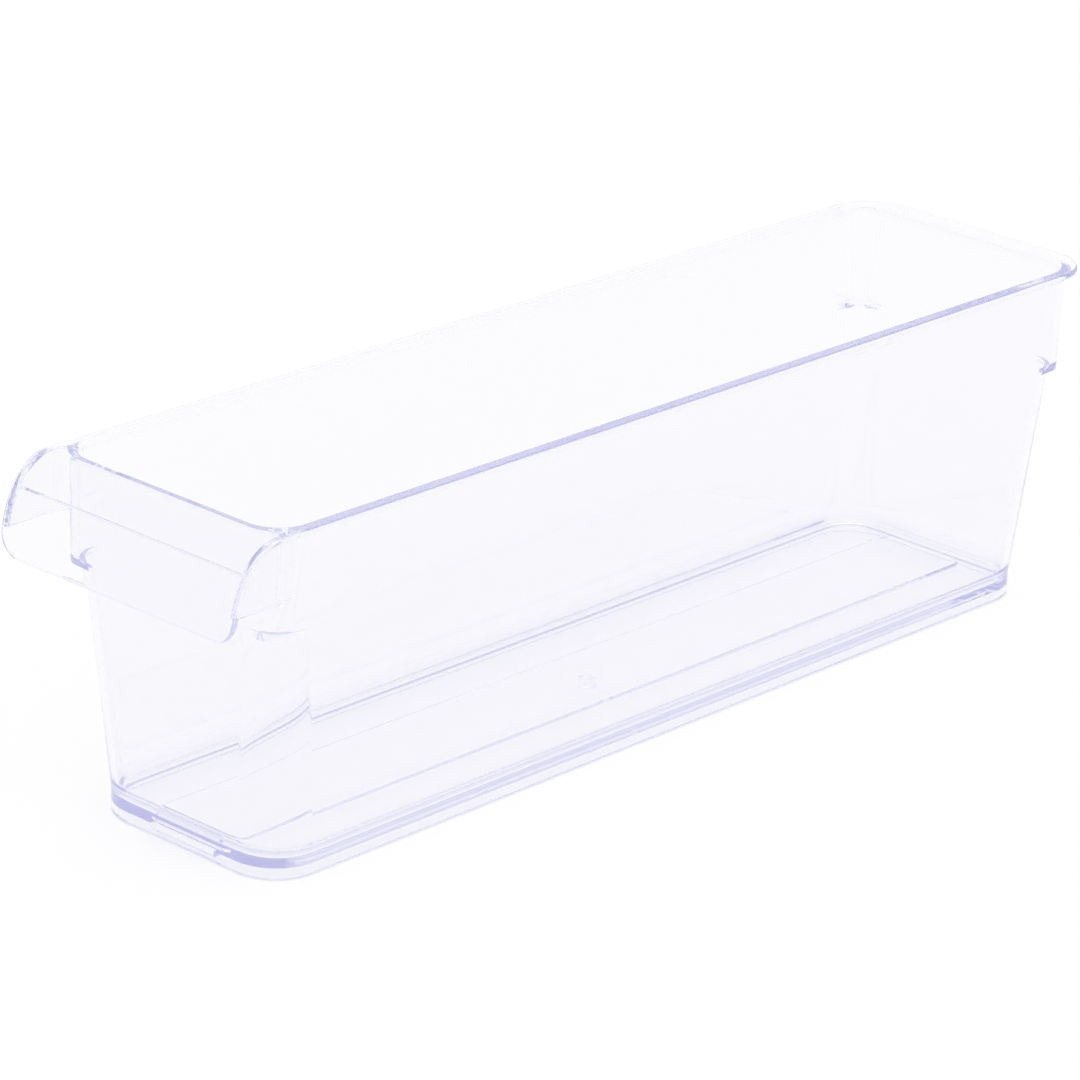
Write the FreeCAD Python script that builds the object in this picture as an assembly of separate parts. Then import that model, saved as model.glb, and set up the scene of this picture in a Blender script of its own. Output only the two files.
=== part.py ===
# Clear fridge drawer organizer: one injection-moulded bin, long and narrow, with a
# curved pull handle on the short front side. Millimetres, +Z up, +Y to the rear,
# origin at the centre of the footprint on the plane the foot stands on.
# The moulding is written as its regions, which meet face to face and never overlap.

import FreeCAD, Part
import math
import os

V = FreeCAD.Vector
os.makedirs("parts", exist_ok=True)

# ---- driving dimensions ----
overall_length = 390.0
rim_width = 98.0
height = 114.0

wall = 2.2
rim_thickness = 1.9
rim_corner_radius = 17.2
rim_edge_round = 0.8
side_overhang = 2.6
rear_overhang = 5.7
side_draft = 3.71
end_draft = 4.5

foot_height = 3.4
foot_straight = 8.0
foot_edge_round = 0.9
floor_thickness = 2.2
floor_fillet = 5.0
front_corner_radius = 16.2
rear_corner_radius = 15.0

shoulder_drop = 35.4
front_shoulder_radius = 13.6
rear_shoulder_radius = 13.2
shoulder_radius = 6.0
shoulder_top_radius = 12.8

panel_half_width = 16.7
panel_end_margin = 7.8
panel_rise = 0.7
panel_corner_radius = 4.0

gate_diameter = 5.5
gate_clearance = 0.8

lug_width = 27.0
lug_depth = 3.0
lug_drop = 2.2

handle_reach = 18.8
arc_start = 0.4
arc_drop = 26.0
grip_drop = 28.8
grip_corner_radius = 8.0
grip_side_taper = 0.4
grip_thickness = 2.6
crease_y_inset = 6.9
crease_step = 0.6
web_thickness = 2.6
web_drop = 20.5
web_tail = 9.0
web_tail_inset = 0.6

# ---- derived positions ----
half = rim_width / 2
rear_y = overall_length / 2
grip_y = -overall_length / 2
front_y = grip_y + handle_reach
rim_under = height - rim_thickness
floor_top = foot_height + floor_thickness
shoulder_z = height - shoulder_drop
arc_y = front_y - arc_start
grip_foot = height - grip_drop

PAST = 12.0                         # how far a cutting shape runs past what it cuts
BIG = 600.0                         # beyond the whole bin
ARC_MID = 1 - math.sqrt(0.5)        # middle of a corner arc, as a share of its radius
QUARTER = math.pi / 2


# ---- outlines and solids ----
def body_extent(z):
    """Outside of the tapered body at height z: half width, front y, rear y."""
    down = height - z
    side = math.tan(math.radians(side_draft)) * down
    end = math.tan(math.radians(end_draft)) * down
    return half - side_overhang - side, front_y + end, rear_y - rear_overhang - end


def corner_arc(x, y, z, radius, x_way, y_way):
    """Quarter circle round a corner at x, y, from its long side to its short side."""
    mid = radius * ARC_MID
    return (V(x, y - y_way * radius, z), V(x - x_way * mid, y - y_way * mid, z),
            V(x - x_way * radius, y, z))


def rounded_wire(hx, y0, y1, front_radius, rear_radius, z):
    """Closed outline of a rectangle with four round corners, lying flat at z."""
    arcs = [
        corner_arc(hx, y1, z, rear_radius, 1, 1),
        corner_arc(-hx, y1, z, rear_radius, -1, 1)[::-1],
        corner_arc(-hx, y0, z, front_radius, -1, -1),
        corner_arc(hx, y0, z, front_radius, 1, -1)[::-1],
    ]
    edges = []
    for i, arc in enumerate(arcs):
        edges.append(Part.Arc(*arc).toShape())
        edges.append(Part.makeLine(arc[2], arcs[(i + 1) % len(arcs)][0]))
    return Part.Wire(edges)


def body_wire(z, front_radius, rear_radius, inset=0.0):
    hx, y0, y1 = body_extent(z)
    return rounded_wire(hx - inset, y0 + inset, y1 - inset,
                        front_radius - inset, rear_radius - inset, z)


def lower_wire(z, inset=0.0):
    """Body outline below the shoulder, whose corners tighten a little towards it."""
    share = max(z - foot_straight, 0) / (shoulder_z - foot_straight)
    front = front_corner_radius + (front_shoulder_radius - front_corner_radius) * share
    rear = rear_corner_radius + (rear_shoulder_radius - rear_corner_radius) * share
    return body_wire(z, front, rear, inset)


def upper_wire(z, inset=0.0):
    """Body outline above the shoulder, whose corners open out towards the rim."""
    share = (z - shoulder_z) / shoulder_drop
    radius = shoulder_radius + (shoulder_top_radius - shoulder_radius) * share
    return body_wire(z, radius, radius, inset)


def loft(low, high):
    return Part.makeLoft([low, high], True, True)


def prism(wire, dz):
    return Part.Face(wire).extrude(V(0, 0, dz))


def block(x0, x1, y0, y1, z0, z1):
    return Part.makeBox(x1 - x0, y1 - y0, z1 - z0, V(x0, y0, z0))


def layer(z0, z1):
    """Everything between two heights."""
    return block(-BIG, BIG, -BIG, BIG, z0, z1)


def edges_below(shape, z):
    return [e for e in shape.Edges if e.BoundBox.ZMax < z]


def single(shape):
    """The one solid a boolean leaves, checked."""
    shape = shape.removeSplitter()
    assert len(shape.Solids) == 1, len(shape.Solids)
    assert shape.isValid()
    return shape.Solids[0]


# ---- outside and inside of the body ----
foot_hx, foot_y0, foot_y1 = body_extent(foot_straight)


def foot_wire(inset=0.0):
    return rounded_wire(foot_hx - inset, foot_y0 + inset, foot_y1 - inset,
                        front_corner_radius - inset, rear_corner_radius - inset, 0)


def make_outside():
    foot = prism(foot_wire(), foot_straight)
    lower = loft(lower_wire(foot_straight), lower_wire(shoulder_z))
    upper = loft(upper_wire(shoulder_z), upper_wire(height))
    return foot.fuse([lower, upper]).removeSplitter()


def make_room():
    """The space inside, with its floor edge rounded."""
    shelf_z = shoulder_z + wall
    lower = loft(lower_wire(floor_top, wall), lower_wire(shelf_z, wall))
    lower = lower.makeFillet(floor_fillet, edges_below(lower, floor_top + 0.01))
    upper = loft(upper_wire(shelf_z, wall), upper_wire(height, wall))
    return lower.fuse(upper).removeSplitter()


body_outside = make_outside()
room = make_room()
shell = body_outside.cut(room)
nodes = {}


# ---- foot, floor and lug ----
def make_foot_ring():
    ring = prism(foot_wire(), foot_height)
    ring = ring.makeFillet(foot_edge_round, edges_below(ring, 0.01))
    return single(ring.cut(prism(foot_wire(wall), foot_height)))


def panel_layer(z):
    """The floor's middle, one rise thick, from z up."""
    wire = rounded_wire(panel_half_width, foot_y0 + panel_end_margin,
                        foot_y1 - panel_end_margin, panel_corner_radius,
                        panel_corner_radius, z)
    return prism(wire, panel_rise)


def make_floor():
    """The floor: its middle stands a little higher, above and below, and carries a nub."""
    floor = shell.common(layer(foot_height, floor_top))
    floor = floor.fuse(panel_layer(floor_top)).cut(panel_layer(foot_height))
    nub_height = foot_height + panel_rise + floor_thickness / 2 - gate_clearance
    nub = Part.makeCylinder(gate_diameter / 2, nub_height,
                            V(0, (foot_y0 + foot_y1) / 2, gate_clearance))
    return single(floor.fuse(nub))


def make_lug():
    lug_y = foot_y0 + wall
    return single(block(-lug_width / 2, lug_width / 2, lug_y, lug_y + lug_depth,
                        foot_height - lug_drop, foot_height))


nodes["floor_panel"] = make_floor()
nodes["foot_ring"] = make_foot_ring()
nodes["foot_lug"] = make_lug()


# ---- walls and corner posts between floor and rim ----
def add_walls():
    """Cuts the shell at the ends of its round corners into four walls and four posts."""
    post_x = foot_hx - front_corner_radius
    post_y0 = foot_y0 + front_corner_radius
    post_y1 = foot_y1 - rear_corner_radius
    ring = shell.common(layer(floor_top, rim_under))
    across = {"left": (-BIG, -post_x), "": (-post_x, post_x), "right": (post_x, BIG)}
    along = {"front": (-BIG, post_y0), "": (post_y0, post_y1), "rear": (post_y1, BIG)}
    for side, (x0, x1) in across.items():
        for end, (y0, y1) in along.items():
            if side and end:
                name = "post_" + end + "_" + side
            elif side or end:
                name = end + side + "_wall"
            else:
                continue
            nodes[name] = single(ring.common(block(x0, x1, y0, y1, 0, height)))


add_walls()


# ---- rim: a flat ledge round three sides, square where it runs into the handle ----
def make_rim():
    ahead = front_y - 4 * rim_corner_radius
    ledge = prism(rounded_wire(half, ahead, rear_y, rim_corner_radius, rim_corner_radius,
                               rim_under), rim_thickness)
    outer = [e for e in ledge.Edges if e.BoundBox.ZLength < 0.01 and e.BoundBox.YMax > front_y]
    ledge = ledge.makeFillet(rim_edge_round, outer)
    return single(ledge.common(block(-BIG, BIG, front_y, BIG, 0, BIG)).cut(room))


nodes["rim_flange"] = make_rim()

# ---- handle: arched plate over an open finger pocket, closed at both ends by webs ----
outer_reach = arc_y - grip_y
inner_reach = outer_reach - rim_thickness
crease_angle = math.asin((arc_y - grip_y - crease_y_inset) / inner_reach)
step_angle = crease_angle + crease_step / outer_reach


def side_point(y, z):
    return V(-half - PAST, y, z)


def arch_point(angle, inset=0.0):
    """Point of the arch, angle 0 at its top and a quarter turn at its foremost line."""
    return side_point(arc_y - (outer_reach - inset) * math.sin(angle),
                      height - arc_drop + (arc_drop - inset) * math.cos(angle))


def arch(start, end, inset=0.0):
    """Elliptic arch between two angles, as one curve."""
    steps = 16
    turn = (end - start) / steps
    curve = Part.BSplineCurve()
    curve.interpolate([arch_point(start + turn * i, inset) for i in range(steps + 1)])
    return curve.toShape()


def across_handle(lines, *arches):
    """Solid wider than the rim, from a side view of straight lines and arches."""
    edges = list(arches)
    for start, end in lines:
        edges.append(Part.makeLine(start, end))
    wire = Part.Wire(Part.__sortEdges__(edges))
    return Part.Face(wire).extrude(V(rim_width + 2 * PAST, 0, 0))


def make_plate():
    """The arched plate; inside, a small step runs across where the thicker grip begins."""
    top = side_point(front_y + PAST, height)
    under = side_point(front_y + PAST, rim_under)
    foot_out = side_point(grip_y, grip_foot)
    foot_in = side_point(grip_y + grip_thickness, grip_foot)
    lines = [(top, arch_point(0)), (arch_point(QUARTER), foot_out), (foot_out, foot_in),
             (foot_in, arch_point(QUARTER, grip_thickness)),
             (arch_point(step_angle, grip_thickness), arch_point(crease_angle, rim_thickness)),
             (arch_point(0, rim_thickness), under), (under, top)]
    return across_handle(lines, arch(0, QUARTER), arch(step_angle, QUARTER, grip_thickness),
                         arch(0, crease_angle, rim_thickness))


def make_filled():
    """The plate together with all the space behind it."""
    top = side_point(front_y + PAST, height)
    low = side_point(front_y + PAST, grip_foot)
    foot_out = side_point(grip_y, grip_foot)
    lines = [(top, arch_point(0)), (arch_point(QUARTER), foot_out), (foot_out, low),
             (low, top)]
    return across_handle(lines, arch(0, QUARTER))


def make_front_view():
    """The handle's outline from the front: sides that close in a little, round corners."""
    low_half = half - grip_side_taper
    y = grip_y - PAST
    corner = grip_foot + grip_corner_radius
    mid = grip_corner_radius * ARC_MID
    high_half = half + grip_side_taper * PAST / (height - corner)
    left = [V(-high_half, y, height + PAST), V(-low_half, y, corner),
            V(-low_half + mid, y, grip_foot + mid), V(-low_half + grip_corner_radius, y, grip_foot)]
    right = [V(-p.x, y, p.z) for p in left]
    wire = Part.Wire([
        Part.makeLine(left[0], left[1]), Part.Arc(*left[1:]).toShape(),
        Part.makeLine(left[3], right[3]), Part.Arc(*right[:0:-1]).toShape(),
        Part.makeLine(right[1], right[0]), Part.makeLine(right[0], left[0])])
    return Part.Face(wire).extrude(V(0, handle_reach + 3 * PAST, 0))


def make_left_web():
    """Upright web under the plate's end; its tail closes in to the corner of the bin."""
    low = height - web_drop
    inner_x = half - grip_side_taper - web_thickness
    outer_x = half + PAST / 2
    tail_x = body_extent(low)[0] - web_tail_inset
    tail_y = front_y + web_tail
    ahead = grip_y - PAST
    plan = [
        V(-inner_x, ahead, low), V(-outer_x, ahead, low), V(-outer_x, front_y, low),
        V(-tail_x, tail_y, low), V(web_thickness - tail_x, tail_y, low),
        V(-inner_x, front_y, low), V(-inner_x, ahead, low)]
    column = Part.Face(Part.makePolygon(plan)).extrude(V(0, 0, web_drop + PAST))
    under_rim = block(-BIG, BIG, front_y, BIG, rim_under, BIG)
    web = make_filled().common(front_view).common(column)
    return single(web.cut(plate_ahead).cut(body_outside).cut(under_rim))


front_view = make_front_view()
plate_ahead = make_plate().common(block(-BIG, BIG, -BIG, front_y, 0, BIG))
nodes["handle_grip"] = single(plate_ahead.common(front_view).cut(body_outside))
nodes["handle_web_left"] = make_left_web()
nodes["handle_web_right"] = nodes["handle_web_left"].mirror(V(0, 0, 0), V(1, 0, 0))

# ---- export ----
for name, shape in nodes.items():
    shape.exportStep("parts/" + name + ".step")
    b = shape.BoundBox
    print(name, "x %.2f..%.2f y %.2f..%.2f z %.2f..%.2f volume %.0f" % (
        b.XMin, b.XMax, b.YMin, b.YMax, b.ZMin, b.ZMax, shape.Volume))
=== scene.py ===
# %% [markdown]
# # A clear fridge drawer organizer
#
# The object is one injection moulding in clear polystyrene: a long, narrow, tapered
# bin with a flat rim, shouldered corners, a foot ring and an arched pull handle. The
# lesson loads the construction model as a frame, builds the moulding again as one
# watertight mesh, and gives it a clear plastic that turns blue along its edges.

# %% Load the frame
import bmesh
import bpy
import math
from mathutils import Matrix, Vector


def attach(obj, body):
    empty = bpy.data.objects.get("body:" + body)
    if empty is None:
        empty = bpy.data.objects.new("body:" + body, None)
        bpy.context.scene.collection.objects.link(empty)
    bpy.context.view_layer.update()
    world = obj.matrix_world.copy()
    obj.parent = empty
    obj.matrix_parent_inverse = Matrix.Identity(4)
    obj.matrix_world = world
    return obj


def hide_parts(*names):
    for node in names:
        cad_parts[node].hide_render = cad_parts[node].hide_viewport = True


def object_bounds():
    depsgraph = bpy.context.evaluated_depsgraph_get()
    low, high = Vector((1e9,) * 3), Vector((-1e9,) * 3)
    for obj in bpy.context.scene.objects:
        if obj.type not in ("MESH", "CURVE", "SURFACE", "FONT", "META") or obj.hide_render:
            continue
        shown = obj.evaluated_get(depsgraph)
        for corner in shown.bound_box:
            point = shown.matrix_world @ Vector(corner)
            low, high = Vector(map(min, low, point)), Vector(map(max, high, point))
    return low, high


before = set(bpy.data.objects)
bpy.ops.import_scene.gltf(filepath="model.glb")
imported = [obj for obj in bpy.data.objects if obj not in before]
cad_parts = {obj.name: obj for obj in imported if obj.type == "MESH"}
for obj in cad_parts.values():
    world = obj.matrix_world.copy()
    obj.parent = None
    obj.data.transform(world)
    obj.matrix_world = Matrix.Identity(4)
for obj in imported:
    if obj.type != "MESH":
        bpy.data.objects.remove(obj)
cad_low, cad_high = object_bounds()
print("frame box", [round(v, 4) for v in (*cad_low, *cad_high)])

# %% [markdown]
# ## Sizes
#
# Light is bent wherever two regions of a clear moulding would meet, so the regions of
# the frame can't be shown side by side: each inner face would show as a line. The
# visible piece is therefore one closed skin. Its sizes are those of the construction
# model, in metres, and the outer ones are read from the frame's box.

# %% Sizes of the moulding
MM = 0.001
HALF = cad_high[0]
REAR = cad_high[1]
GRIP = cad_low[1]
TOP = cad_high[2]

WALL = 2.2 * MM
RIM_THICKNESS = 1.9 * MM
RIM_NOSE = 0.85 * MM
RIM_CORNER = 17.2 * MM
RIM_FILLET = 1.7 * MM
RIM_ROOT = 4.0 * MM
SIDE_OVERHANG = 2.6 * MM
REAR_OVERHANG = 5.7 * MM
MOUTH_ROUND = 1.3 * MM
HANDLE_REACH = 18.8 * MM
FRONT = GRIP + HANDLE_REACH
ARCH_SET_FORWARD = 0.4 * MM
ARCH_START = FRONT - ARCH_SET_FORWARD
SIDE_DRAFT = math.radians(3.71)
END_DRAFT = math.radians(4.5)

FOOT_STRAIGHT = 8.0 * MM
FOOT_HEIGHT = 3.4 * MM
FOOT_ROUND = 0.9 * MM
FLOOR_TOP = 5.6 * MM
FILLET_RISE = 6.0 * MM
FILLET_SIDE = 4.0 * MM
FILLET_END = 4.6 * MM
FRONT_CORNER = 16.2 * MM
REAR_CORNER = 15.0 * MM

SHOULDER = TOP - 35.4 * MM
FRONT_LEDGE_CORNER = 13.6 * MM
REAR_LEDGE_CORNER = 13.2 * MM
SHOULDER_RISE = 0.4 * MM
SHOULDER_CORNER = 6.0 * MM
TOP_CORNER = 12.8 * MM
CORNER_STEPS = 16
SHARP = 0.005 * MM
BRIDGE_LIFT = 8.0 * MM
FACING = 0.9
print("front wall at", round(FRONT, 4), "shoulder at", round(SHOULDER, 4))

# %% [markdown]
# ## The outline tool
#
# Every level of the bin is a rectangle with round corners. A plane laid at that level
# and bevelled at its corner points gives such an outline, and bridging one outline to
# the next gives the skin between them. The same tool stood on edge makes the sections
# of the handle.


# %% Outline and bridge helpers
def let_go():
    """Leave edit mode and deselect everything."""
    if bpy.context.object and bpy.context.object.mode != "OBJECT":
        bpy.ops.object.mode_set(mode="OBJECT")
    bpy.ops.object.select_all(action="DESELECT")


def pick(test, kind="verts"):
    """In edit mode, select only the shown points or faces that pass a test."""
    bpy.ops.mesh.select_mode(type="VERT" if kind == "verts" else "FACE")
    bpy.ops.mesh.select_all(action="DESELECT")
    mesh = bmesh.from_edit_mesh(bpy.context.object.data)
    for element in getattr(mesh, kind):
        if not element.hide:
            element.select = bool(test(element))
    mesh.select_flush_mode()
    bmesh.update_edit_mesh(bpy.context.object.data)


def add_outline(centre, width, depth, low_radius, high_radius, turn=0.0, steps=CORNER_STEPS):
    """A filled rectangle with round corners, tipped about X, added in edit mode.
    What is there already is hidden meanwhile, so that only the new points are picked."""
    bpy.ops.mesh.select_mode(type="VERT")
    bpy.ops.mesh.select_all(action="SELECT")
    bpy.ops.mesh.hide()
    bpy.ops.mesh.primitive_plane_add(size=1)
    bpy.ops.transform.resize(value=(width, depth, 1))
    for side, radius in ((-1, low_radius), (1, high_radius)):
        edge = side * depth / 2
        pick(lambda v: abs(v.co.y - edge) < SHARP / 4 and abs(v.co.x) > width / 2 - SHARP / 4)
        bpy.ops.mesh.bevel(offset=radius, segments=steps, affect="VERTICES")
    bpy.ops.mesh.select_all(action="SELECT")
    if turn:
        bpy.ops.transform.rotate(value=-turn, orient_axis="X", center_override=(0, 0, 0))
    bpy.ops.transform.translate(value=centre)
    bpy.ops.mesh.reveal(select=False)


def bridge_outline(centre, *sizes):
    """Adds an outline and joins it to the open end of the skin so far.
    It is joined from a little off its own plane, then moved in: two outlines in one
    plane give the bridge no direction to go by."""
    turn = sizes[4] if len(sizes) > 4 else 0.0
    off = Vector((0, -math.sin(turn), math.cos(turn))) * BRIDGE_LIFT
    add_outline(Vector(centre) + off, *sizes)
    bpy.ops.mesh.delete(type="ONLY_FACE")
    bpy.ops.mesh.select_mode(type="EDGE")
    bpy.ops.mesh.select_non_manifold(extend=False)
    bpy.ops.mesh.bridge_edge_loops()
    bpy.ops.mesh.select_non_manifold(extend=False)
    bpy.ops.transform.translate(value=-off)


def new_piece(name):
    """An empty mesh object in edit mode, ready for outlines."""
    let_go()
    bpy.ops.mesh.primitive_plane_add(size=1)
    piece = bpy.context.object
    piece.name = piece.data.name = name
    bpy.ops.object.mode_set(mode="EDIT")
    bpy.ops.mesh.delete(type="VERT")
    return piece


def loose_edges(piece):
    """How many edges don't have exactly two faces."""
    mesh = bmesh.new()
    mesh.from_mesh(piece.data)
    count = sum(1 for e in mesh.edges if len(e.link_faces) != 2)
    mesh.free()
    return count


print("helpers ready")

# %% [markdown]
# ## The tub, level by level
#
# The tub is what the mould's two halves leave between them. It could be lofted region by
# region, or be a box hollowed by booleans, but one unbroken skin keeps every round edge
# in its place and bends light as the real wall does. So the skin starts under the floor,
# turns round the foot ring, climbs the outside, steps out at the shoulder, swells into
# the rim, rolls over it and comes down the inside to the floor. The flat sides lean by
# the mould's draft; only the corner radius changes at the shoulder, so the ledge shows
# at the corners alone. The middle of the floor stands a little higher, above and below.


# %% Levels of the tub
def body_side(z, inset=0.0):
    """Half width, front and rear of the drafted body at a height."""
    down = TOP - max(z, FOOT_STRAIGHT)
    side = HALF - SIDE_OVERHANG - math.tan(SIDE_DRAFT) * down
    end = math.tan(END_DRAFT) * down
    return side - inset, FRONT + end + inset, REAR - REAR_OVERHANG - end - inset


def body_level(z, front_corner, rear_corner, inset=0.0):
    """Centre, width, depth and the front and rear radius of one level of the body."""
    side, front, rear = body_side(z, inset)
    radii = max(front_corner - inset, SHARP), max(rear_corner - inset, SHARP)
    return (0, (front + rear) / 2, z), 2 * side, rear - front, *radii


def lower_level(z, inset=0.0):
    """One level below the shoulder, whose corners tighten a little towards it."""
    share = max(z - FOOT_STRAIGHT, 0) / (SHOULDER - FOOT_STRAIGHT)
    front_corner = FRONT_CORNER + (FRONT_LEDGE_CORNER - FRONT_CORNER) * share
    rear_corner = REAR_CORNER + (REAR_LEDGE_CORNER - REAR_CORNER) * share
    return body_level(z, front_corner, rear_corner, inset)


def upper_level(z, inset=0.0):
    """One level between the shoulder and the rim."""
    corner = SHOULDER_CORNER + (TOP_CORNER - SHOULDER_CORNER) * (z - SHOULDER) / (TOP - SHOULDER)
    return body_level(z, corner, corner, inset)


def flange_root(z, outset):
    """The wall's outside where it swells into the rim; its front stays plain."""
    centre, width, depth, front_corner, rear_corner = upper_level(z)
    middle = (centre[0], centre[1] + outset / 2, z)
    return middle, width + 2 * outset, depth + outset, front_corner, rear_corner + outset


def rim_level(z, inset):
    """One level of the rim's nose: round at the rear, square where the handle starts."""
    front = ARCH_START
    rear = REAR - inset
    return (0, (front + rear) / 2, z), 2 * (HALF - inset), rear - front, SHARP, RIM_CORNER - inset


def quarter(steps):
    """Cosine and sine along a quarter turn."""
    for i in range(steps + 1):
        angle = math.pi / 2 * i / steps
        yield math.cos(angle), math.sin(angle)


print("body at the shoulder", [round(v, 4) for v in body_side(SHOULDER)])

# %% Bridge the levels into the tub
ROUND_STEPS = 6
FILLET_STEPS = 12
PANEL_HALF = 16.7 * MM
PANEL_RISE = 0.7 * MM
PANEL_SLOPE = 0.5 * MM
PANEL_CORNER = 4.0 * MM
PANEL_MARGIN = 7.8 * MM


def fillet_level(inward, rise):
    """One level of the round between walls and floor, wider at the long sides."""
    z = FLOOR_TOP + FILLET_RISE * rise
    centre, width, depth, front_corner, rear_corner = lower_level(z, WALL)
    side_in = FILLET_SIDE * inward
    end_in = FILLET_END * inward
    return centre, width - 2 * side_in, depth - 2 * end_in, front_corner - side_in, rear_corner - side_in


def panel_level(z, grow):
    """One level of the floor's raised middle."""
    _, front, rear = body_side(z, PANEL_MARGIN - grow)
    radius = PANEL_CORNER + grow
    return (0, (front + rear) / 2, z), 2 * (PANEL_HALF + grow), rear - front, radius, radius


tub = new_piece("clear_bin")
add_outline(*panel_level(FOOT_HEIGHT + PANEL_RISE, 0))
bridge_outline(*panel_level(FOOT_HEIGHT, PANEL_SLOPE))
bridge_outline(*lower_level(FOOT_HEIGHT, WALL))
bridge_outline(*lower_level(FOOT_ROUND / 2, WALL))
bridge_outline(*lower_level(0, WALL - FOOT_ROUND / 2))
for cos, sin in quarter(ROUND_STEPS):
    bridge_outline(*lower_level(FOOT_ROUND * (1 - cos), FOOT_ROUND * (1 - sin)))
bridge_outline(*lower_level(FOOT_STRAIGHT))
bridge_outline(*lower_level(SHOULDER))
bridge_outline(*upper_level(SHOULDER + SHOULDER_RISE))
rim_under = TOP - RIM_THICKNESS
for cos, sin in quarter(ROUND_STEPS):
    bridge_outline(*flange_root(rim_under - RIM_ROOT * (1 - sin), RIM_FILLET * (1 - cos)))
for cos, sin in quarter(ROUND_STEPS):
    bridge_outline(*rim_level(rim_under + RIM_NOSE * (1 - cos), RIM_NOSE * (1 - sin)))
for cos, sin in quarter(ROUND_STEPS):
    bridge_outline(*rim_level(TOP - RIM_NOSE * (1 - sin), RIM_NOSE * (1 - cos)))
for cos, sin in quarter(ROUND_STEPS):
    bridge_outline(*upper_level(TOP - MOUTH_ROUND * (1 - cos), WALL - MOUTH_ROUND * (1 - sin)))
shelf = SHOULDER + WALL
bridge_outline(*upper_level(shelf + SHOULDER_RISE, WALL))
bridge_outline(*lower_level(shelf, WALL))
for cos, sin in quarter(FILLET_STEPS):
    bridge_outline(*fillet_level(1 - cos, 1 - sin))
bridge_outline(*panel_level(FLOOR_TOP, PANEL_SLOPE))
bridge_outline(*panel_level(FLOOR_TOP + PANEL_RISE, 0))
bpy.ops.mesh.select_non_manifold(extend=False)
bpy.ops.mesh.edge_face_add()
bpy.ops.mesh.select_all(action="SELECT")
bpy.ops.mesh.remove_doubles(threshold=2 * SHARP)
bpy.ops.mesh.select_all(action="SELECT")
bpy.ops.mesh.normals_make_consistent(inside=False)
let_go()
print("tub:", len(tub.data.vertices), "points,", loose_edges(tub), "open edges")

# %% [markdown]
# ## The pull handle
#
# The handle is a plate that leaves the rim at the top of the front wall, arches over
# and hangs down in front of it. On its inside a small step runs across, and the grip
# below the step is a little thicker. A separate plate pushed into the rim would leave a
# hidden seam that shows in a clear plastic. So the handle grows from the rim itself: the
# rim's flat front is opened, and sections of the plate are bridged on one by one.

# %% The arch in side view
ARCH_REACH = ARCH_START - GRIP
ARCH_DROP = 26.0 * MM
GRIP_DROP = 28.8 * MM
GRIP_CORNER = 8.0 * MM
GRIP_TAPER = 0.4 * MM
GRIP_THICKNESS = 2.6 * MM
GRIP_EDGE = 1.15 * MM
EDGE_SHARE = 0.46
GRIP_LOWER_ROUND = 1.2 * MM
CREASE_INSET = 6.9 * MM
CREASE_STEP = 0.6 * MM
ARCH_STEPS = 18


def arch_point(angle, inset=0.0):
    """Height and depth of the arch, from its top at angle 0 to its front at 90 degrees."""
    y = ARCH_START - (ARCH_REACH - inset) * math.sin(angle)
    z = TOP - ARCH_DROP + (ARCH_DROP - inset) * math.cos(angle)
    return Vector((0, y, z))


def front_at(z):
    """How far forward the plate's outside is at a height on its steep part."""
    along = max(z - TOP + ARCH_DROP, 0) / ARCH_DROP
    return ARCH_START - ARCH_REACH * math.sqrt(1 - along ** 2)


crease_sine = (ARCH_START - GRIP - CREASE_INSET) / (ARCH_REACH - RIM_THICKNESS)
crease_angle = math.asin(crease_sine)
crease = arch_point(crease_angle, RIM_THICKNESS)
grip_foot_z = TOP - GRIP_DROP
print("crease at", [round(c, 4) for c in crease[1:]])


# %% Sections of the plate
def plate_section(outer, inner, half_width):
    """Outline arguments of a section that spans from the inner to the outer point."""
    across = outer - inner
    turn = math.atan2(across.z, across.y)
    edge = min(GRIP_EDGE, EDGE_SHARE * across.length)
    return (outer + inner) / 2, 2 * half_width, across.length, edge, edge, turn, ROUND_STEPS


def half_width_at(z):
    """Half the handle's width: a slight taper down to the round lower corners."""
    arc_top = grip_foot_z + GRIP_CORNER
    share = min((TOP - z) / (TOP - arc_top), 1)
    half = HALF - GRIP_TAPER * share
    below = min(max(arc_top - z, 0), GRIP_CORNER)
    return half - (GRIP_CORNER - math.sqrt(GRIP_CORNER ** 2 - below ** 2))


sections = []
for i in range(1, ARCH_STEPS + 1):
    angle = crease_angle * i / ARCH_STEPS
    outer = arch_point(angle)
    sections.append(plate_section(outer, arch_point(angle, RIM_THICKNESS), half_width_at(outer.z)))
corner_angle = math.acos((grip_foot_z + GRIP_CORNER - TOP + ARCH_DROP) / ARCH_DROP)
step_angle = crease_angle + CREASE_STEP / ARCH_REACH
for i in range(ARCH_STEPS + 1):
    angle = step_angle + (corner_angle - step_angle) * i / ARCH_STEPS
    outer = arch_point(angle)
    inner = arch_point(angle, GRIP_THICKNESS)
    sections.append(plate_section(outer, inner, half_width_at(outer.z)))
LOWER_STEPS = 12
for i in range(1, LOWER_STEPS + 1):
    angle = math.pi / 2 * i / LOWER_STEPS
    z = grip_foot_z + GRIP_CORNER * (1 - math.sin(angle))
    front = front_at(z)
    above = z - grip_foot_z
    narrow = 0.0
    if above < GRIP_LOWER_ROUND:
        narrow = GRIP_LOWER_ROUND - math.sqrt(GRIP_LOWER_ROUND ** 2 - (GRIP_LOWER_ROUND - above) ** 2)
    outer = Vector((0, front + narrow, z))
    inner = Vector((0, front + GRIP_THICKNESS - narrow, z))
    sections.append(plate_section(outer, inner, half_width_at(z)))
print("plate sections:", len(sections))

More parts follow.
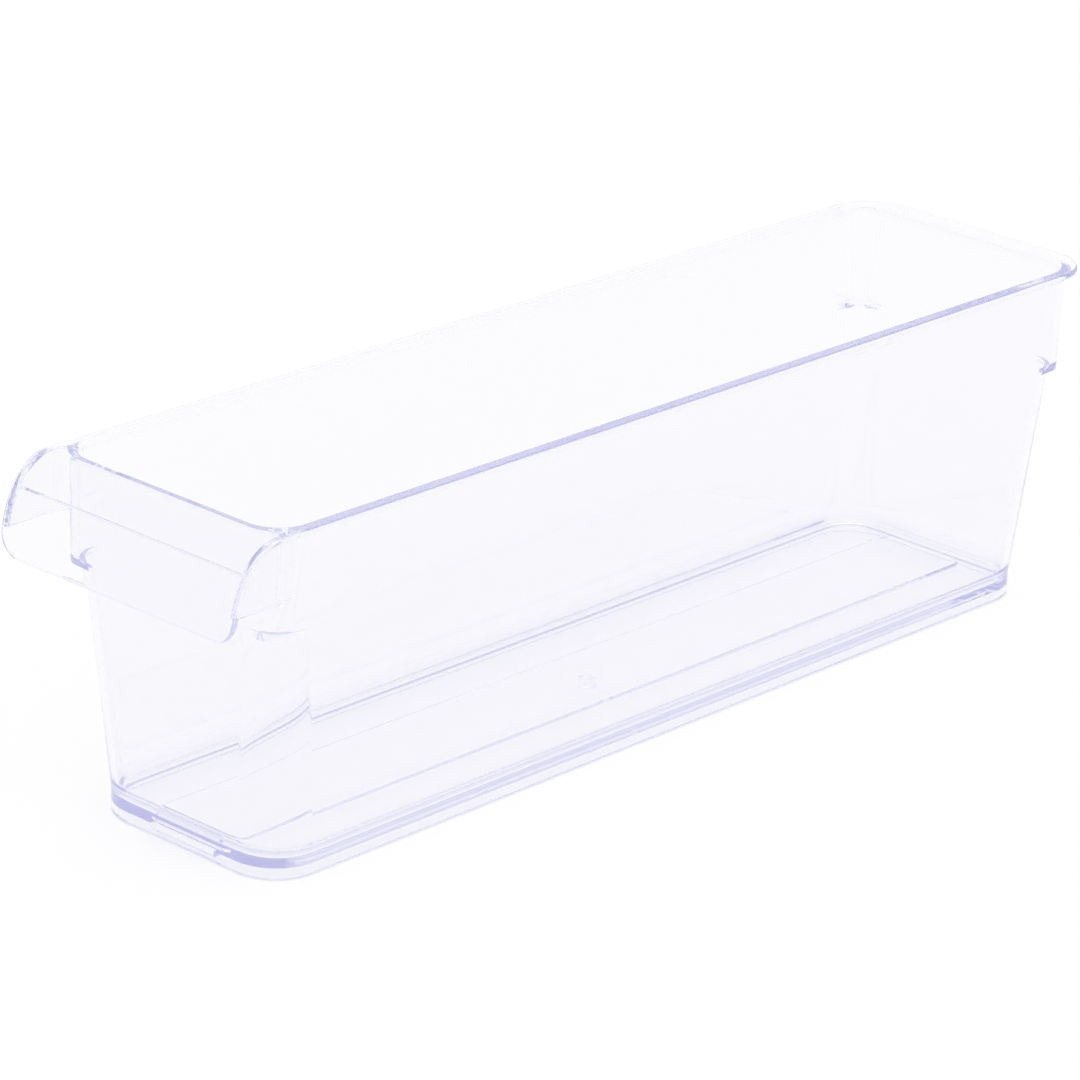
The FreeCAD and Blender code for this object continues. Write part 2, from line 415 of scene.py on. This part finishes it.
# %% Bridge the plate onto the rim
bpy.context.view_layer.objects.active = tub
tub.select_set(True)
bpy.ops.object.mode_set(mode="EDIT")
pick(lambda f: f.normal.y < -FACING and f.calc_center_median().y < ARCH_START + SHARP
     and f.calc_center_median().z > rim_under, kind="faces")
print("rim front faces opened:", sum(f.select for f in bmesh.from_edit_mesh(tub.data).faces))
bpy.ops.mesh.delete(type="FACE")
for section in sections:
    bridge_outline(*section)
bpy.ops.mesh.select_non_manifold(extend=False)
bpy.ops.mesh.edge_face_add()
bpy.ops.mesh.select_all(action="SELECT")
bpy.ops.mesh.normals_make_consistent(inside=False)
let_go()
print("tub with plate:", len(tub.data.vertices), "points,", loose_edges(tub), "open edges")

# %% [markdown]
# ## Webs, lug and gate
#
# A web closes each end of the finger pocket. It hangs under the plate and its tail runs
# in to the round corner of the bin. The lug is a short rib under the floor, and the
# gate is the low round nub where the plastic entered the mould. They cross the tub's
# skin where no level of it could turn off, so each is its own closed form. The exact
# boolean joins it to the tub and leaves nothing of it inside the plastic.

# %% Webs of the finger pocket
WEB_THICKNESS = 2.6 * MM
WEB_DROP = 20.5 * MM
WEB_OUTER = HALF - GRIP_TAPER
WEB_TAIL = 9.0 * MM
WEB_TAIL_MIDDLE = 6.0 * MM
WEB_FIRST = 1.0 * MM
WEB_STEP = 1.5 * MM
WEB_STEPS = 12
WEB_EDGE = 0.3 * MM
WEB_EDGE_STEPS = 3
web_low = TOP - WEB_DROP
web_middle = WEB_OUTER - WEB_THICKNESS / 2
web_path = [(GRIP + WEB_FIRST + i * WEB_STEP, web_middle, WEB_THICKNESS) for i in range(WEB_STEPS)]
for behind, inward, share in ((0, 0, 1.0), (WEB_TAIL_MIDDLE, 2.2 * MM, 0.8), (WEB_TAIL, 3.2 * MM, 0.6)):
    web_path.append((FRONT + behind, web_middle - inward, WEB_THICKNESS * share))


def web_top(y):
    """Height of the middle of the plate's thickness above a place along the handle."""
    reach = ARCH_REACH - RIM_THICKNESS / 2
    along = min(max((ARCH_START - y) / reach, 0), 1)
    return TOP - ARCH_DROP + (ARCH_DROP - RIM_THICKNESS / 2) * math.sqrt(1 - along ** 2)


def add_web(side):
    """One closed web, as upright sections from the plate back to the corner."""
    web = new_piece("web")
    for i, (y, x, thick) in enumerate(web_path):
        top = web_top(y)
        centre = (side * x, y, (top + web_low) / 2)
        place = (centre, thick, top - web_low, WEB_EDGE, WEB_EDGE, math.pi / 2, WEB_EDGE_STEPS)
        if i == 0:
            add_outline(*place)
        else:
            bridge_outline(*place)
    bpy.ops.mesh.select_non_manifold(extend=False)
    bpy.ops.mesh.edge_face_add()
    bpy.ops.mesh.select_all(action="SELECT")
    bpy.ops.mesh.normals_make_consistent(inside=False)
    let_go()
    return web


def join_to_tub(form):
    """Joins a closed form to the tub and removes the form."""
    let_go()
    tub.select_set(True)
    bpy.context.view_layer.objects.active = tub
    step = tub.modifiers.new("join", "BOOLEAN")
    step.operation = "UNION"
    step.solver = "EXACT"
    step.object = form
    bpy.ops.object.modifier_apply(modifier=step.name)
    bpy.data.objects.remove(form)


for side in (-1, 1):
    join_to_tub(add_web(side))
print("with webs:", len(tub.data.vertices), "points,", loose_edges(tub), "open edges")

# %% Lug and gate under the floor
LUG_WIDTH = 27.0 * MM
LUG_DEPTH = 3.0 * MM
LUG_DROP = 2.2 * MM
LUG_SINK = 0.2 * MM
LUG_ROUND = 0.6 * MM
LUG_ROUND_STEPS = 4
GATE_RADIUS = 2.75 * MM
GATE_LOW = 0.8 * MM
GATE_ROUND = 0.5 * MM
GATE_ROUND_STEPS = 3
GATE_SIDES = 48
GATE_TOP = (FOOT_HEIGHT + FLOOR_TOP) / 2 + PANEL_RISE
foot_front = body_side(0)[1]
foot_rear = body_side(0)[2]
let_go()
lug_low = FOOT_HEIGHT - LUG_DROP
lug_high = (FOOT_HEIGHT + FLOOR_TOP) / 2
bpy.ops.mesh.primitive_cube_add(
    size=1, location=(0, foot_front + WALL + LUG_DEPTH / 2, (lug_low + lug_high) / 2),
    scale=(LUG_WIDTH, LUG_DEPTH + 2 * LUG_SINK, lug_high - lug_low))
lug = bpy.context.object
bpy.ops.object.transform_apply(location=True, rotation=False, scale=True)
bpy.ops.object.mode_set(mode="EDIT")
pick(lambda v: v.co.z < FOOT_HEIGHT)
bpy.ops.mesh.bevel(offset=LUG_ROUND, segments=LUG_ROUND_STEPS, affect="EDGES")
join_to_tub(lug)
let_go()
bpy.ops.mesh.primitive_cylinder_add(
    vertices=GATE_SIDES, radius=GATE_RADIUS, depth=GATE_TOP - GATE_LOW,
    location=(0, (foot_front + foot_rear) / 2, (GATE_TOP + GATE_LOW) / 2))
gate = bpy.context.object
bpy.ops.object.transform_apply(location=True, rotation=False, scale=True)
bpy.ops.object.mode_set(mode="EDIT")
pick(lambda f: f.normal.z < -FACING, kind="faces")
bpy.ops.mesh.bevel(offset=GATE_ROUND, segments=GATE_ROUND_STEPS, affect="EDGES")
join_to_tub(gate)
print("with lug and gate:", len(tub.data.vertices), "points,", loose_edges(tub), "open edges")

# %% Smooth shading with true flats
SMOOTH_UP_TO = math.radians(32)
let_go()
tub.select_set(True)
bpy.context.view_layer.objects.active = tub
bpy.ops.object.shade_smooth_by_angle(angle=SMOOTH_UP_TO)
weigh = tub.modifiers.new("weigh", "WEIGHTED_NORMAL")
weigh.keep_sharp = True
weigh.weight = 100
bpy.ops.object.modifier_apply(modifier=weigh.name)
print("shaded")

# %% [markdown]
# ## Clear polystyrene
#
# The plastic is water-clear from face to face. Light that runs along a wall travels
# through centimetres of it and comes out at the edges lavender blue. Blue painted on the
# edges would stay there from every side, so it is a matter of volume and not of surface
# colour: the shader refracts at both skins, and the volume between them takes away a
# little more red and green than blue. A trace of haze in the plastic hands some light
# back, so that the longest ways end pale and never black.


# %% The plastic
SKIN_TINT = (0.982, 0.979, 0.989, 1)
REFRACTION = 1.59
BODY_TINT = (0.1, 0.12, 0.75, 1)
TINT_DENSITY = 3.3
HAZE_DENSITY = 6.0
WHITE = (1, 1, 1, 1)


def clear_polystyrene():
    material = bpy.data.materials.new("clear_polystyrene")
    material.use_nodes = True
    nodes, links = material.node_tree.nodes, material.node_tree.links
    skin = nodes["Principled BSDF"]
    skin.inputs["Base Color"].default_value = SKIN_TINT
    skin.inputs["Roughness"].default_value = 0.0
    skin.inputs["IOR"].default_value = REFRACTION
    skin.inputs["Transmission Weight"].default_value = 1.0
    inside = nodes.new("ShaderNodeVolumeAbsorption")
    inside.inputs["Color"].default_value = BODY_TINT
    inside.inputs["Density"].default_value = TINT_DENSITY
    haze = nodes.new("ShaderNodeVolumeScatter")
    haze.inputs["Color"].default_value = WHITE
    haze.inputs["Density"].default_value = HAZE_DENSITY
    both = nodes.new("ShaderNodeAddShader")
    links.new(inside.outputs["Volume"], both.inputs[0])
    links.new(haze.outputs["Volume"], both.inputs[1])
    links.new(both.outputs[0], nodes["Material Output"].inputs["Volume"])
    return material


tub.data.materials.clear()
tub.data.materials.append(clear_polystyrene())
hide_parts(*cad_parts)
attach(tub, "root")
print("plastic on", tub.name)

# %% [markdown]
# ## Floor, light and camera
#
# A clear object shows its surroundings, so they are plain: an even white sky and a pale
# floor. The floor is a little brighter where it is seen, straight on or through the
# plastic, and not where it lights the bin; it keeps the bin's faint shadow. Two large
# lamps add a soft direction. Light stays inside a wall for many turns, so the bounce
# limits are high, and the blur of late reflections is off because it would darken the
# floor under the bin. The camera stands to the front right and a little above.

# %% Pale surroundings
SKY = 1.0
FLOOR_ALBEDO = 0.8
FLOOR_GLOW = 0.178
FLOOR_SIZE = 12.0
FLOOR_GAP = 0.2 * MM


def pale_world():
    world = bpy.data.worlds.new("studio")
    bpy.context.scene.world = world
    world.use_nodes = True
    sky = world.node_tree.nodes["Background"]
    sky.inputs["Color"].default_value = WHITE
    sky.inputs["Strength"].default_value = SKY


def pale_floor():
    let_go()
    bpy.ops.mesh.primitive_plane_add(size=FLOOR_SIZE, location=(0, 0, -FLOOR_GAP))
    floor = bpy.context.object
    floor.name = "floor"
    material = bpy.data.materials.new("floor")
    material.use_nodes = True
    nodes, links = material.node_tree.nodes, material.node_tree.links
    surface = nodes["Principled BSDF"]
    surface.inputs["Base Color"].default_value = (FLOOR_ALBEDO, FLOOR_ALBEDO, FLOOR_ALBEDO, 1)
    surface.inputs["Roughness"].default_value = 1.0
    surface.inputs["Specular IOR Level"].default_value = 0.0
    glow = nodes.new("ShaderNodeEmission")
    glow.inputs["Strength"].default_value = FLOOR_GLOW
    both = nodes.new("ShaderNodeAddShader")
    links.new(surface.outputs[0], both.inputs[0])
    links.new(glow.outputs[0], both.inputs[1])
    path = nodes.new("ShaderNodeLightPath")
    seen = nodes.new("ShaderNodeMath")
    seen.operation = "MAXIMUM"
    shown = nodes.new("ShaderNodeMath")
    shown.operation = "MAXIMUM"
    links.new(path.outputs["Is Camera Ray"], seen.inputs[0])
    links.new(path.outputs["Is Glossy Ray"], seen.inputs[1])
    links.new(seen.outputs[0], shown.inputs[0])
    links.new(path.outputs["Is Transmission Ray"], shown.inputs[1])
    mix = nodes.new("ShaderNodeMixShader")
    links.new(shown.outputs[0], mix.inputs["Fac"])
    links.new(surface.outputs[0], mix.inputs[1])
    links.new(both.outputs[0], mix.inputs[2])
    links.new(mix.outputs[0], nodes["Material Output"].inputs["Surface"])
    floor.data.materials.append(material)


TURNS = 256
HAZE_TURNS = 16
pale_world()
pale_floor()
bpy.context.scene.view_settings.view_transform = "Standard"
bpy.context.scene.cycles.blur_glossy = 0.0
bpy.context.scene.cycles.max_bounces = TURNS
bpy.context.scene.cycles.transmission_bounces = TURNS
bpy.context.scene.cycles.glossy_bounces = TURNS
bpy.context.scene.cycles.volume_bounces = HAZE_TURNS
print("sky", SKY, "floor glow", FLOOR_GLOW)

# %% Soft lights
LAMP_SIZE = 2.0
KEY_PLACE = (1.3, -0.6, 2.0)
KEY_POWER = 3
FILL_PLACE = (1.2, 1.4, 1.6)
FILL_POWER = 1


def soft_light(name, place, power):
    light = bpy.data.lights.new(name, "AREA")
    light.size = LAMP_SIZE
    light.energy = power
    lamp = bpy.data.objects.new(name, light)
    bpy.context.scene.collection.objects.link(lamp)
    lamp.location = place
    lamp.rotation_euler = (Vector((0, 0, 0)) - Vector(place)).to_track_quat("-Z", "Y").to_euler()


soft_light("key", KEY_PLACE, KEY_POWER)
soft_light("fill", FILL_PLACE, FILL_POWER)
print("lamps:", len(bpy.data.lights))

# %% Camera
FRAME_PIXELS = 1080
SENSOR = 36.0
FOCAL_PIXELS = 5256.55
AZIMUTH = math.radians(42.355)
ELEVATION = math.radians(21.329)
ROLL = math.radians(2.28)
TARGET = Vector((2.017, -18.81, 58.8)) * MM
DISTANCE = 1.6184

back = Vector((math.sin(AZIMUTH) * math.cos(ELEVATION), -math.cos(AZIMUTH) * math.cos(ELEVATION),
               math.sin(ELEVATION)))
level_right = (-back).cross(Vector((0, 0, 1))).normalized()
level_up = level_right.cross(-back)
right = level_right * math.cos(ROLL) + level_up * math.sin(ROLL)
up = level_up * math.cos(ROLL) - level_right * math.sin(ROLL)
lens = bpy.data.cameras.new("camera")
lens.sensor_width = SENSOR
lens.lens = SENSOR * FOCAL_PIXELS / FRAME_PIXELS
camera = bpy.data.objects.new("camera", lens)
bpy.context.scene.collection.objects.link(camera)
camera.matrix_world = Matrix.Translation(TARGET + back * DISTANCE) @ Matrix(
    (right, up, back)).transposed().to_4x4()
bpy.context.scene.camera = camera
print("camera at", [round(c, 3) for c in camera.matrix_world.translation])
